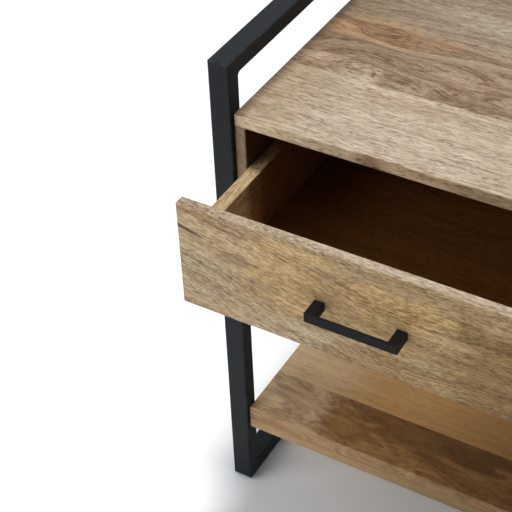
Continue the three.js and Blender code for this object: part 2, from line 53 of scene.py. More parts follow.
def linear(code):
    """A colour code such as #c2aa82 as the linear numbers that shaders take."""
    parts = [int(code[i : i + 2], 16) / 255 for i in (1, 3, 5)]
    return tuple(p / 12.92 if p <= 0.04045 else ((p + 0.055) / 1.055) ** 2.4 for p in parts)


def colour(name, description, code):
    return FloatVectorProperty(
        name=name, description=description, subtype="COLOR", size=3, min=0, max=1,
        default=linear(code),
    )


def share(name, description, value):
    return FloatProperty(
        name=name, description=description, subtype="FACTOR", min=0, max=1, default=value
    )


def length(name, description, value):
    return FloatProperty(
        name=name, description=description, subtype="DISTANCE", unit="LENGTH", min=0,
        precision=5, default=value,
    )


class BoardFinish:
    """What every wood of the table has: its grain, its oil and the stains of its planks."""

    ring_spacing: length("Ring spacing", "Mean width of a growth ring on the face", 0.0075)
    pore_depth: share("Pore depth", "How dark the open pores are", 0.8)
    pore_length: length("Pore length", "Length of an open pore along the fibres", 0.0085)
    fleck: share("Flecks", "How strong the short flecks are", 0.44)
    fleck_length: length("Fleck length", "Length of a fleck along the fibres", 0.012)
    curl: share("Curl", "How strong the slanting light and dark patches are", 0.06)
    relief: length("Relief", "Depth of the pores and raised fibres", 0.00025)
    dull: share("Dullness", "Roughness of the oiled surface", 0.56)
    first: colour("First plank", "Stain of the first plank", "#ffffff")
    second: colour("Second plank", "Stain of the second plank", "#ffffff")
    third: colour("Third plank", "Stain of the third plank", "#ffffff")


class TopWood(BoardFinish, bpy.types.PropertyGroup):
    pale: colour("Pale wood", "Light wood of the top panel", "#dccbb4")
    brown: colour("Brown wood", "Dark streaks of the top panel", "#836a52")
    second: colour("Middle plank", "Stain of the middle plank", "#d8cfc6")
    third: colour("Rear plank", "Stain of the plank at the rear", "#d3d0ca")


class FrontWood(BoardFinish, bpy.types.PropertyGroup):
    pore_length: length("Pore length", "Length of an open pore along the fibres", 0.009)
    fleck: share("Flecks", "How strong the short flecks are", 0.6)
    fleck_length: length("Fleck length", "Length of a fleck along the fibres", 0.0075)
    pale: colour("Pale wood", "Light wood of the drawer front", "#d4bd97")
    brown: colour("Brown wood", "Dark streaks of the drawer front", "#866a48")


class CabinetWood(BoardFinish, bpy.types.PropertyGroup):
    pale: colour("Pale wood", "Light wood of the sides, bottom and back", "#c9ad86")
    brown: colour("Brown wood", "Dark streaks of the sides, bottom and back", "#8a6c49")
    second: colour("Second plank", "Stain of the second plank", "#d9d0c6")
    third: colour("Third plank", "Stain of the third plank", "#f0e4d2")


class ShelfWood(BoardFinish, bpy.types.PropertyGroup):
    ring_spacing: length("Ring spacing", "Mean width of a growth ring on the face", 0.012)
    pore_depth: share("Pore depth", "How dark the open pores are", 0.3)
    fleck: share("Flecks", "How strong the short flecks are", 0.16)
    curl: share("Curl", "How strong the slanting light and dark patches are", 0.5)
    pale: colour("Pale wood", "Light wood of the shelf", "#ebc183")
    brown: colour("Brown wood", "Dark streaks of the shelf", "#ab7c4a")
    first: colour("Front plank", "Stain of the plank at the front", "#d7d0cd")
    third: colour("Rear plank", "Stain of the plank at the rear", "#e8ddda")


class BoxWood(BoardFinish, bpy.types.PropertyGroup):
    pale: colour("Pale wood", "Light wood of the drawer box", "#dcc39b")
    brown: colour("Brown wood", "Dark streaks of the drawer box", "#94754c")
    # The drawer floor is darker than the box: partly its own darker panel, partly painted
    # shade inside the drawer.
    second: colour("Drawer floor", "Stain of the thin floor panel", "#b58c62")
    third: colour("Runners", "Stain of the runners", "#f4e6cc")


class SteelFinish(bpy.types.PropertyGroup):
    frame_coat: colour("Frame coat", "Powder coat of the side frames", "#171c20")
    handle_coat: colour("Handle coat", "Paint of the pull handle", "#0e0d0d")
    # The worn coat lightens the edges: partly wear, partly painted highlight.
    worn: colour("Worn coat", "Coat along the edges that hands rub", "#4b5154")
    dull: share("Dullness", "Roughness of the powder coat", 0.5)
    peel: length("Peel", "Size of the ripples in the powder coat", 0.0011)
    wear: length("Edge wear", "How far the wear reaches from an edge", 0.0016)


class FastenerFinish(bpy.types.PropertyGroup):
    zinc: colour("Zinc", "Plating of the screws", "#b9bbb8")
    tarnish: colour("Tarnish", "Dull patches on the screws", "#8b8a82")
    plastic: colour("Plastic", "Floor glides", "#1d1d1e")


class StudioSettings(bpy.types.PropertyGroup):
    floor: colour("Floor", "Colour of the floor", "#ffffff")
    floor_lift: colour("Floor lift", "Light added to the floor where it is seen", "#003142")
    floor_size: length("Floor size", "Side of the square floor", 12.0)
    sky: share("Sky", "Strength of the light from all round", 0.05)
    glow: share("Glow", "Strength of the wide light above and behind", 0.6)
    overhead: FloatProperty(
        name="Overhead", description="Strength of the overhead lamp", min=0, default=2.25
    )
    overhead_spread: FloatProperty(
        name="Overhead spread", description="Apparent size of the overhead lamp",
        subtype="ANGLE", unit="ROTATION", default=math.radians(9),
    )
    side_power: FloatProperty(
        name="Side lamp", description="Power of the soft lamp at the left in front",
        subtype="POWER", unit="POWER", min=0, default=17,
    )
    side_size: length("Side lamp size", "Side of the square soft lamp", 1.3)
    lens: FloatProperty(
        name="Lens", description="Focal length of the camera", subtype="DISTANCE_CAMERA",
        unit="CAMERA", default=100.22,
    )


class TableSettings(bpy.types.PropertyGroup):
    top: PointerProperty(type=TopWood)
    front: PointerProperty(type=FrontWood)
    cabinet: PointerProperty(type=CabinetWood)
    shelf: PointerProperty(type=ShelfWood)
    box: PointerProperty(type=BoxWood)
    steel: PointerProperty(type=SteelFinish)
    fasteners: PointerProperty(type=FastenerFinish)
    studio: PointerProperty(type=StudioSettings)
    seed: IntProperty(name="Seed", description="Picks the grain of every board", default=7)


# ---------------------------------------------------------------- node recipes


class Recipe:
    """Shorthand for laying out one node tree from sockets and plain values."""

    def __init__(self, tree):
        self.tree = tree

    def node(self, kind, **settings):
        node = self.tree.nodes.new(kind)
        for key, value in settings.items():
            setattr(node, key, value)
        return node

    def feed(self, socket, value):
        """Links the socket to another one, or sets its value."""
        if isinstance(value, bpy.types.NodeSocket):
            self.tree.links.new(value, socket)
        elif socket.type == "RGBA" and len(value) == 3:
            socket.default_value = (*value, 1)
        else:
            socket.default_value = value

    def feed_all(self, sockets, values):
        for socket, value in zip(sockets, values):
            self.feed(socket, value)

    def math(self, operation, *values, clamp=False):
        node = self.node("ShaderNodeMath", operation=operation, use_clamp=clamp)
        self.feed_all(node.inputs, values)
        return node.outputs[0]

    def plus(self, first, *others):
        for other in others:
            first = self.math("ADD", first, other)
        return first

    def minus(self, first, second):
        return self.math("SUBTRACT", first, second)

    def times(self, first, *others):
        for other in others:
            first = self.math("MULTIPLY", first, other)
        return first

    def over(self, first, second):
        return self.math("DIVIDE", first, second)

    def vector(self, operation, *values):
        node = self.node("ShaderNodeVectorMath", operation=operation)
        self.feed_all(node.inputs, values)
        return node.outputs["Value" if operation in ("LENGTH", "DOT_PRODUCT") else "Vector"]

    def split(self, place):
        node = self.node("ShaderNodeSeparateXYZ")
        self.feed(node.inputs[0], place)
        return tuple(node.outputs)

    def join(self, x, y, z):
        node = self.node("ShaderNodeCombineXYZ")
        self.feed_all(node.inputs, (x, y, z))
        return node.outputs[0]

    def blend(self, factor, first, second, kind="MIX"):
        node = self.node("ShaderNodeMix", data_type="RGBA", blend_type=kind)
        self.feed_all((node.inputs[0], *node.inputs[6:8]), (factor, first, second))
        return node.outputs[2]

    def tint(self, factor, base, tone):
        """The base colour, multiplied by the tone as far as the factor goes."""
        return self.blend(factor, base, tone, "MULTIPLY")

    def between(self, factor, low, high):
        """A number between low and high."""
        node = self.node("ShaderNodeMix", data_type="FLOAT")
        self.feed_all((node.inputs[0], *node.inputs[2:4]), (factor, low, high))
        return node.outputs[0]

    def remap(self, value, low, high, to_low=0.0, to_high=1.0, smooth=True):
        kind = "SMOOTHSTEP" if smooth else "LINEAR"
        node = self.node("ShaderNodeMapRange", interpolation_type=kind)
        self.feed_all(node.inputs, (value, low, high, to_low, to_high))
        return node.outputs[0]

    def noise(self, place, pitch, detail=2.0, roughness=0.5):
        """Noise whose features are about pitch metres long: one number, or (x, y, z)."""
        if isinstance(pitch, float):
            pitch = (pitch, pitch, pitch)
        node = self.node("ShaderNodeTexNoise")
        self.feed(node.inputs["Vector"], self.vector("DIVIDE", place, pitch))
        for name, value in (("Scale", 1.0), ("Detail", detail), ("Roughness", roughness)):
            node.inputs[name].default_value = value
        return node.outputs["Fac"]

    def waver(self, value):
        """Noise along one number."""
        node = self.node("ShaderNodeTexNoise", noise_dimensions="1D")
        self.feed(node.inputs["W"], value)
        for name in ("Scale", "Detail"):
            node.inputs[name].default_value = 1.0
        return node.outputs["Fac"]

    def chance(self, number):
        node = self.node("ShaderNodeTexWhiteNoise", noise_dimensions="1D")
        self.feed(node.inputs["W"], number)
        return node.outputs["Value"]

    def steps(self, value, stops):
        """The colour and the alpha of the stop that a value from 0 to 1 has reached."""
        node = self.node("ShaderNodeValToRGB")
        node.color_ramp.interpolation = "CONSTANT"
        points = node.color_ramp.elements
        while len(points) < len(stops):
            points.new(1)
        for point, (position, tone) in zip(points, stops):
            point.position = position
            point.color = tone
        self.feed(node.inputs[0], value)
        return node.outputs["Color"], node.outputs["Alpha"]

    def group(self, name, **values):
        """Places a shared effect and returns its outputs by name."""
        node = self.node("ShaderNodeGroup", node_tree=bpy.data.node_groups[name])
        for key, value in values.items():
            self.feed(node.inputs[key.replace("_", " ").title()], value)
        return {socket.name: socket for socket in node.outputs}


SOCKETS = {
    "vector": "NodeSocketVector",
    "number": "NodeSocketFloat",
}


def shared_effect(name, takes, gives):
    """A node group with named inputs and outputs: (recipe, inputs by name, feed output)."""
    tree = bpy.data.node_groups.new(name, "ShaderNodeTree")
    for socket_name, kind, *default in takes:
        socket = tree.interface.new_socket(
            socket_name, in_out="INPUT", socket_type=SOCKETS[kind]
        )
        if default:
            socket.default_value = default[0]
    for socket_name in gives:
        tree.interface.new_socket(
            socket_name, in_out="OUTPUT", socket_type=SOCKETS["number"]
        )
    recipe = Recipe(tree)
    entry = recipe.node("NodeGroupInput")
    leave = recipe.node("NodeGroupOutput")
    inputs = {socket.name: socket for socket in entry.outputs if socket.name}

    def give(socket_name, value):
        recipe.feed(leave.inputs[socket_name], value)

    return recipe, inputs, give


# ---------------------------------------------------------------- shared effects

GLUE_LINE = 0.0006  # how far the dark line of a joint reaches to each side

# Mean length, width and depth of the features of mango wood, or only their width.
SWIRL = (0.15, 0.04, 0.04)
RIPPLE = (0.045, 0.013, 0.013)
BROAD_STREAK = (0.09, 0.012, 0.012)
FINE_STREAK = (0.045, 0.0042, 0.0042)
FLECK_WIDTH = 0.0014
PORE_WIDTH = 0.0013
PORE_CROWD = (0.06, 0.010, 0.010)
CAST = (0.07, 0.022, 0.022)
FEATHER = (0.05, 0.013, 0.013)
FEATHER_PATCH = (0.09, 0.03, 0.03)

PLANK_SHIFT = (1.37, 0.71, 0.43)  # how far apart two planks are cut from the same tree
SEED_STEP = 5.0  # a board's seed moves its planks past those of the next seed
RING_LEAN = 0.7  # how far the rings lean through the board
SWIRL_RINGS = 24.0  # how many rings a swirl can bend where the grain is wild
RIPPLE_RINGS = (0.8, 3.0)  # the same for a ripple, in straight and in wild grain
BANDS_PER_RING = 0.31
FIBRE_BEND = 0.06  # how far a swirl moves the fibres
CURL_SLANT = 0.55
HEART_WAVER = 1.6  # how far the drift bends a heart's outline, in its half sizes


def make_planks():
    """Which plank of a glued-up board a point is on, and the dark line between planks."""
    r, take, give = shared_effect(
        "planks",
        [("Across", "number"), ("First Joint", "number"), ("Second Joint", "number")],
        ["Plank", "Joint"],
    )
    across, joints = take["Across"], (take["First Joint"], take["Second Joint"])
    give("Plank", r.plus(*(r.math("GREATER_THAN", across, joint) for joint in joints)))
    gaps = (r.math("ABSOLUTE", r.minus(across, joint)) for joint in joints)
    give("Joint", r.remap(r.math("MINIMUM", *gaps), 0.0, GLUE_LINE, 1.0, 0.0))


def make_mango_grain():
    """Growth rings, streaks, flecks and open pores of a plank whose fibres run along X."""
    r, take, give = shared_effect(
        "mango_grain",
        [
            ("Place", "vector"), ("Plank", "number"), ("Seed", "number"),
            ("Ring Spacing", "number", 0.0075), ("Figure", "number", 0.3),
            ("Pore Length", "number", 0.0085), ("Fleck Length", "number", 0.012),
        ],
        ["Rings", "Bands", "Streaks", "Flecks", "Pores", "Cast", "Curl"],
    )
    figure = take["Figure"]
    number = r.plus(take["Plank"], r.times(take["Seed"], SEED_STEP))
    shift = r.join(*(r.times(number, step) for step in PLANK_SHIFT))
    place = r.vector("ADD", take["Place"], shift)
    x, y, z = r.split(place)

    # Growth rings, cut at a slant and bent by swirls where the figure is wild.
    swirl = r.minus(r.noise(place, SWIRL, 1.0, 0.4), 0.5)
    ripple = r.minus(r.noise(place, RIPPLE), 0.5)
    rings = r.plus(
        r.over(r.plus(y, r.times(z, RING_LEAN)), take["Ring Spacing"]),
        r.times(figure, SWIRL_RINGS, swirl),
        r.times(ripple, r.between(figure, *RIPPLE_RINGS)),
    )
    turn = r.math("FRACT", rings)
    late = r.times(r.remap(turn, 0.3, 0.8), r.remap(turn, 0.84, 1.0, 1.0, 0.0))
    strength = r.remap(r.chance(r.math("FLOOR", rings)), 0.0, 1.0, 0.1, 1.0, smooth=False)
    give("Rings", r.times(late, strength))
    give("Bands", r.remap(r.waver(r.times(rings, BANDS_PER_RING)), 0.3, 0.7))

    # Streaks, flecks and pores along the fibres.
    bent = r.join(x, r.plus(y, r.times(figure, FIBRE_BEND, swirl)), z)
    broad = r.noise(bent, BROAD_STREAK, 3.0, 0.6)
    fine = r.noise(bent, FINE_STREAK, 2.0, 0.6)
    give("Streaks", r.remap(r.plus(r.times(broad, 0.5), r.times(fine, 0.5)), 0.36, 0.64))
    fleck = r.join(take["Fleck Length"], FLECK_WIDTH, FLECK_WIDTH)
    give("Flecks", r.remap(r.noise(bent, fleck, 2.0, 0.65), 0.34, 0.66))
    pore = r.join(take["Pore Length"], PORE_WIDTH, PORE_WIDTH)
    crowd = r.remap(r.noise(bent, PORE_CROWD, 1.0), 0.32, 0.68, 0.64, 0.55)
    give("Pores", r.remap(r.noise(bent, pore, 1.0), crowd, r.plus(crowd, 0.09)))

    # The slow change of hue, and the curl that slants across the fibres.
    give("Cast", r.remap(r.noise(place, CAST), 0.32, 0.68))
    slant = r.plus(r.times(x, CURL_SLANT), r.times(ripple, 0.03))
    feather = r.noise(r.join(r.minus(x, y), r.plus(y, slant), z), FEATHER, 3.0, 0.62)
    patch = r.remap(r.noise(place, FEATHER_PATCH, 1.0), 0.35, 0.6)
    give("Curl", r.times(r.minus(feather, 0.5), patch, r.remap(figure, 0.1, 0.7)))


def make_heart_patch():
    """How far a point is inside an oval patch of a board, whose outline wavers."""
    r, take, give = shared_effect(
        "heart_patch",
        [
            ("Along", "number"), ("Across", "number"), ("Drift", "number"),
            ("Middle Along", "number"), ("Middle Across", "number"),
            ("Half Length", "number"), ("Half Width", "number"),
        ],
        ["Inside"],
    )
    way = r.over(r.minus(take["Along"], take["Middle Along"]), take["Half Length"])
    off = r.over(r.minus(take["Across"], take["Middle Across"]), take["Half Width"])
    reach = r.vector("LENGTH", r.join(way, off, 0.0))
    reach = r.plus(reach, r.times(take["Drift"], HEART_WAVER))
    give("Inside", r.remap(reach, 0.7, 1.15, 1.0, 0.0))


def make_soaked_ends():
    """How far the oil has soaked into the two ends of a board, in soft patches."""
    r, take, give = shared_effect(
        "soaked_ends",
        [
            ("Along", "number"), ("Low", "number"), ("High", "number"),
            ("Reach", "number"), ("Smudge", "number"),
        ],
        ["Soaked"],
    )
    along = take["Along"]
    end = r.math("MINIMUM", r.minus(along, take["Low"]), r.minus(take["High"], along))
    soaked = r.remap(end, 0.0, take["Reach"], 1.0, 0.0)
    give("Soaked", r.times(soaked, r.between(take["Smudge"], 0.15, 0.6)))


def make_worn_edges():
    """How close a point is to an edge of the box between two corners, with a ragged limit."""
    r, take, give = shared_effect(
        "worn_edges",
        [("Place", "vector"), ("Low", "vector"), ("High", "vector"), ("Reach", "number")],
        ["Edge"],
    )
    place = take["Place"]
    depth = r.vector(
        "MINIMUM",
        r.vector("SUBTRACT", place, take["Low"]),
        r.vector("SUBTRACT", take["High"], place),
    )
    # A point near an edge is near two faces, so the second smallest depth counts.
    dx, dy, dz = r.split(depth)
    nearer, further = r.math("MINIMUM", dx, dy), r.math("MAXIMUM", dx, dy)
    second = r.math("MAXIMUM", nearer, r.math("MINIMUM", further, dz))
    ragged = r.noise(place, 0.012, 3.0, 0.65)
    reach = r.times(take["Reach"], r.remap(ragged, 0.3, 0.75, 0.15, 1.3))
    give("Edge", r.math("SUBTRACT", 1.0, r.over(second, reach), clamp=True))


def make_powder_coat():
    """The fine ripples and the slow waves in the surface of a powder coat."""
    r, take, give = shared_effect(
        "powder_coat", [("Place", "vector"), ("Peel", "number")], ["Height"]
    )
    peel = r.noise(take["Place"], r.join(take["Peel"], take["Peel"], take["Peel"]))
    waves = r.noise(take["Place"], 0.02, 1.0)
    give("Height", r.plus(r.times(peel, 0.25), waves))


def make_handling():
    """Soft patches that hands leave on any surface, and specks of dust."""
    r, take, give = shared_effect(
        "handling", [("Place", "vector"), ("Patch", "number")], ["Smudge", "Speck"]
    )
    patch = r.join(take["Patch"], take["Patch"], take["Patch"])
    give("Smudge", r.remap(r.noise(take["Place"], patch, 3.0, 0.55), 0.35, 0.68))
    give("Speck", r.remap(r.noise(take["Place"], 0.0016, 1.0), 0.66, 0.74))


SHARED_EFFECTS = (
    make_planks, make_mango_grain, make_heart_patch, make_soaked_ends,
    make_worn_edges, make_powder_coat, make_handling,
)


# ---------------------------------------------------------------- materials


def new_material(name):
    """A material with a bare Principled shader: (material, recipe, shader)."""
    material = bpy.data.materials.new(name)
    material.use_nodes = True
    tree = material.node_tree
    tree.nodes.clear()
    recipe = Recipe(tree)
    shader = recipe.node("ShaderNodeBsdfPrincipled")
    output = recipe.node("ShaderNodeOutputMaterial")
    tree.links.new(shader.outputs[0], output.inputs["Surface"])
    return material, recipe, shader


def object_place(r):
    return r.node("ShaderNodeTexCoord").outputs["Object"]


def worn_edge(r, place, node, reach):
    """How worn a point of a piece is, by how close it lies to an edge of the piece's box."""
    low, high = (tuple(corner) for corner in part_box(node))
    return r.group("worn_edges", place=place, low=low, high=high, reach=reach)["Edge"]


def bump(r, shader, height, distance, strength=0.5):
    node = r.node("ShaderNodeBump")
    node.inputs["Strength"].default_value = strength
    node.inputs["Distance"].default_value = distance
    r.feed(node.inputs["Height"], height)
    r.feed(shader.inputs["Normal"], node.outputs[0])


def dress(node, material):
    """Gives a solid of the frame its material, in every slot."""
    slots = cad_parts[node].material_slots
    if not slots:
        raise RuntimeError(f"{node} has no material slot")
    for slot in slots:
        slot.material = material


class Heart(NamedTuple):
    """A patch of wood with a stain of its own, such as brown heartwood; some patches are
    painted light or shade.

    Its middle and its half sizes lie along and across the board. It may stay in one plank.
    """

    along: float
    across: float
    half_length: float
    half_width: float
    stain: tuple
    plank: int = None


class Fade(NamedTuple):
    """A stain that grows from start to end along the board, or only in one plank; some fades
    are painted light or shade.
    """

    start: float
    end: float
    stain: tuple
    plank: int = None


class Face(NamedTuple):
    """A face with a stain of its own, which may fade in between two places along the board;
    some faces carry painted light or shade.
    """

    axis: str
    sign: int
    stain: tuple
    fade: tuple = ()


class Board(NamedTuple):
    """How one board is cut and stained.

    axes are the ones along, across and through it, and joints the places across it where
    its planks meet. Each plank has a figure, from straight to wild grain, and tones says
    which stain it takes. sweep is (start, end, drop): how far the fibres drop between two
    places along the board. soak is how far the oil darkens it from its ends.
    """

    node: str
    axes: str
    joints: tuple = ()
    figures: tuple = (0.3,)
    tones: tuple = (0, 1, 2)
    faces: tuple = ()
    hearts: tuple = ()
    fades: tuple = ()
    sweep: tuple = ()
    soak: float = 0.035


PLANKS = 3  # the most planks that a board has
FAR_OFF = 9.0  # a joint further out than any board
HEART_DRIFT = (0.06, 0.015, 0.015)  # size of the waves in a heart's outline
WOOD_EDGE = 0.002  # how far the wear of wood reaches from an edge

# How much each feature darkens the wood: in straight and in wild grain, or in any.
RING_DARK = (0.14, 0.5)
BAND_DARK = (0.16, 0.42)
STREAK_DARK = 0.2
CURL_DARK = 4.0
GLUE_DARK = 0.22
EDGE_DARK = 0.25

CASTS = ((1.015, 0.99, 0.98), (0.99, 1.0, 0.97))  # the hues that the wood drifts between
PORE_TONE = (0.40, 0.33, 0.28)
END_TONE = (0.50, 0.47, 0.40)
GLUE_TONE = (0.10, 0.065, 0.04)
EDGE_TONE = (0.72, 0.66, 0.6)
STEEL_DUST = (0.09, 0.09, 0.088)
PLASTIC_DUST = (0.05, 0.05, 0.048)


def plank_stain(r, board, finish, plank):
    """The stain and the figure of the plank that a point is on."""
    stains = (finish.first, finish.second, finish.third)
    figures = (board.figures + board.figures[-1:] * PLANKS)[:PLANKS]
    stops = [
        (number / PLANKS, (*stains[tone], figure))
        for number, (tone, figure) in enumerate(zip(board.tones, figures))
    ]
    return r.steps(r.over(r.plus(plank, 0.5), PLANKS), stops)


def only_in(r, mask, plank, number):
    """The mask, kept to the plank with that number. Without a number it stays as it is."""
    if number is None:
        return mask
    return r.times(mask, r.math("COMPARE", plank, number, 0.5))


def stain_patches(r, board, stain, plank, along, across, fibres):
    """Adds the board's hearts, fades and faces to its stain, in that order, with the painted
    light and shade that some of them carry.
    """
    if board.hearts:
        drift = r.minus(r.noise(fibres, HEART_DRIFT, 3.0, 0.6), 0.5)
    for heart in board.hearts:
        inside = r.group(
            "heart_patch", along=along, across=across, drift=drift,
            middle_along=heart.along, middle_across=heart.across,
            half_length=heart.half_length, half_width=heart.half_width,
        )["Inside"]
        stain = r.blend(only_in(r, inside, plank, heart.plank), stain, heart.stain)
    for fade in board.fades:
        mask = only_in(r, r.remap(along, fade.start, fade.end), plank, fade.plank)
        stain = r.tint(mask, stain, fade.stain)
    if board.faces:
        facing = dict(zip("xyz", r.split(r.node("ShaderNodeTexCoord").outputs["Normal"])))
    for face in board.faces:
        mask = r.remap(r.times(facing[face.axis], face.sign), 0.4, 0.8)
        if face.fade:
            mask = r.times(mask, r.remap(along, *face.fade))
        stain = r.blend(mask, stain, face.stain)
    return stain


def bare_wood(r, finish, grain, figure):
    """The colour of the wood before its stain, pores and wear."""
    dark = r.plus(
        r.times(grain["Rings"], r.between(figure, *RING_DARK)),
        r.times(grain["Bands"], r.between(figure, *BAND_DARK)),
        r.times(grain["Streaks"], STREAK_DARK),
        r.times(grain["Flecks"], finish.fleck),
    )
    curl = r.times(grain["Curl"], CURL_DARK * finish.curl)
    dark = r.math("ADD", dark, curl, clamp=True)
    tone = r.blend(dark, tuple(finish.pale), tuple(finish.brown))
    return r.tint(1.0, tone, r.blend(grain["Cast"], *CASTS))


def wood_material(board, finish, seed, marks=None):
    """Dresses a board in mango wood. marks draws what only that board has."""
    material, r, shader = new_material(f"wood_{board.node}")
    place = object_place(r)
    parts = dict(zip("xyz", r.split(place)))
    along, across, through = (parts[axis] for axis in board.axes)
    bent = across
    if board.sweep:
        start, end, drop = board.sweep
        bent = r.plus(across, r.remap(along, start, end, 0.0, drop))
    fibres = r.join(along, bent, through)

    first, second, *_ = (*board.joints, FAR_OFF, FAR_OFF)
    planks = r.group("planks", across=across, first_joint=first, second_joint=second)
    plank, joint = planks["Plank"], planks["Joint"]
    stain, figure = plank_stain(r, board, finish, plank)
    stain = stain_patches(r, board, stain, plank, along, across, fibres)
    grain = r.group(
        "mango_grain", place=fibres, plank=plank, seed=float(seed), figure=figure,
        ring_spacing=finish.ring_spacing, pore_length=finish.pore_length,
        fleck_length=finish.fleck_length,
    )
    smudge = r.group("handling", place=place, patch=0.06)["Smudge"]
    edge = worn_edge(r, place, board.node, WOOD_EDGE)
    low, high = (corner["xyz".index(board.axes[0])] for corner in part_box(board.node))
    soaked = r.group(
        "soaked_ends", along=along, low=low, high=high, reach=board.soak, smudge=smudge
    )["Soaked"]

    tone = r.tint(1.0, bare_wood(r, finish, grain, figure), stain)
    tone = r.tint(r.times(grain["Pores"], finish.pore_depth), tone, PORE_TONE)
    tone = r.tint(soaked, tone, END_TONE)
    tone = r.blend(r.times(joint, GLUE_DARK), tone, GLUE_TONE)
    tone = r.tint(r.times(edge, EDGE_DARK), tone, EDGE_TONE)
    if marks:
        tone = marks(r, along, across, tone)
    r.feed(shader.inputs["Base Color"], tone)

    rough = r.plus(r.times(grain["Streaks"], 0.1), r.times(smudge, -0.07), finish.dull)
    r.feed(shader.inputs["Roughness"], rough)
    shader.inputs["Specular IOR Level"].default_value = 0.25
    height = r.minus(r.times(grain["Streaks"], 0.35), grain["Pores"])
    height = r.minus(height, r.times(joint, 0.5))
    bump(r, shader, height, finish.relief, strength=0.6)
    dress(board.node, material)


def wood_materials(boards, finish, seed):
    """Dresses boards that share a finish, each with a grain of its own."""
    for number, board in enumerate(boards):
        wood_material(board, finish, seed + number)


CHECK_DROP = 0.0265  # how far the end check starts below the front's upper edge
CHECK_LENGTH = 0.04
CHECK_FALL = 0.0097  # how far it falls along its length
CHECK_HALF_WIDTH = 0.003
CHECK_TONE = (0.075, 0.048, 0.03)
HAIR = 0.00001  # keeps a width that divides above zero


def end_check(r, along, across, tone):
    """A short dark check in the wood, running in from the left end of the drawer front."""
    low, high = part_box("drawer_front")
    run = r.over(r.minus(along, low.x), CHECK_LENGTH)
    line = r.minus(high.z - CHECK_DROP, r.times(run, CHECK_FALL))
    off = r.math("ABSOLUTE", r.minus(across, line))
    half = r.times(r.remap(run, 0.3, 1.0, 1.0, 0.0), CHECK_HALF_WIDTH)
    inside = r.math("SUBTRACT", 1.0, r.over(off, r.plus(half, HAIR)), clamp=True)
    return r.blend(r.remap(inside, 0.0, 0.4, 0.0, 0.9), tone, CHECK_TONE)


def coated_steel(node, name, coat, steel, gloss=0.13, rub_and_highlight=0.6):
    """Dresses a steel piece in a coat that hands have rubbed along its edges, lighter there,
    partly wear and partly painted highlight.
    """
    material, r, shader = new_material(name)
    place = object_place(r)
    edge = worn_edge(r, place, node, steel.wear)
    handled = r.group("handling", place=place, patch=0.08)
    # Lighter edges: partly wear, partly painted highlight.
    tone = r.blend(r.times(edge, rub_and_highlight), tuple(coat), tuple(steel.worn))
    tone = r.blend(r.times(handled["Smudge"], 0.05), tone, tuple(steel.worn))
    tone = r.blend(r.times(handled["Speck"], 0.1), tone, STEEL_DUST)
    r.feed(shader.inputs["Base Color"], tone)
    rough = r.plus(steel.dull, r.times(handled["Smudge"], 0.1))
    r.feed(shader.inputs["Roughness"], r.minus(rough, r.times(edge, 0.12)))
    shader.inputs["Specular IOR Level"].default_value = gloss
    ripples = r.group("powder_coat", place=place, peel=steel.peel)["Height"]
    bump(r, shader, ripples, distance=0.0002)
    dress(node, material)


def zinc_plate(fasteners):
    material, r, shader = new_material("zinc_plate")
    place = object_place(r)
    smudge = r.group("handling", place=place, patch=0.004)["Smudge"]
    tone = r.blend(smudge, tuple(fasteners.zinc), tuple(fasteners.tarnish))
    r.feed(shader.inputs["Base Color"], tone)
    shader.inputs["Metallic"].default_value = 1.0
    r.feed(shader.inputs["Roughness"], r.between(smudge, 0.26, 0.48))
    bump(r, shader, r.noise(place, 0.0006), distance=0.00004)
    return material


def black_plastic(fasteners):
    material, r, shader = new_material("black_plastic")
    place = object_place(r)
    handled = r.group("handling", place=place, patch=0.006)
    dusty = r.times(handled["Speck"], 0.5)
    r.feed(shader.inputs["Base Color"], r.blend(dusty, tuple(fasteners.plastic), PLASTIC_DUST))
    r.feed(shader.inputs["Roughness"], r.between(handled["Smudge"], 0.42, 0.62))
    bump(r, shader, r.noise(place, 0.0005), distance=0.00005)
    return material


def seen_directly(r):
    """1 for rays from the eye, also off a gloss or through glass, and 0 for soft light."""
    path = r.node("ShaderNodeLightPath").outputs
    seen = r.math("MAXIMUM", path["Is Camera Ray"], path["Is Glossy Ray"])
    return r.math("MAXIMUM", seen, path["Is Transmission Ray"])


def settings(context):
    return context.scene.side_table


# ---------------------------------------------------------------- operators

SIDES = {"left": 1, "right": -1}  # and which way along X is inward
PAINTED_CABINET_SHADE = (0.34, 0.24, 0.16)  # painted shade, darkening the cabinet's inner faces where shade falls inside the cabinet
PAINTED_DRAWER_SHADE = (0.52, 0.38, 0.27)  # painted shade, darkening the drawer's inner faces further back, in the shade of the top panel
DARK_END = (0.44, 0.43, 0.41)  # darkening at each end of the top panel, where it meets the side frames


class MakeEffects(bpy.types.Operator):
    """Builds the grain, plank, heart, edge, coat and handling effects that materials share"""

    bl_idname = "side_table.effects"
    bl_label = "Shared Effects"

    def execute(self, context):
        for make in SHARED_EFFECTS:
            make()
        return {"FINISHED"}


class DressSideFrames(bpy.types.Operator):
    """Powder-coats the legs, floor rails and top bars"""

    bl_idname = "side_table.side_frames"
    bl_label = "Side Frames"

    def execute(self, context):
        steel = settings(context).steel
        for side in SIDES:
            for part in ("front_leg", "rear_leg", "floor_rail", "top_bar"):
                node = f"{side}_{part}"
                coated_steel(node, f"steel_{node}", steel.frame_coat, steel)
        return {"FINISHED"}


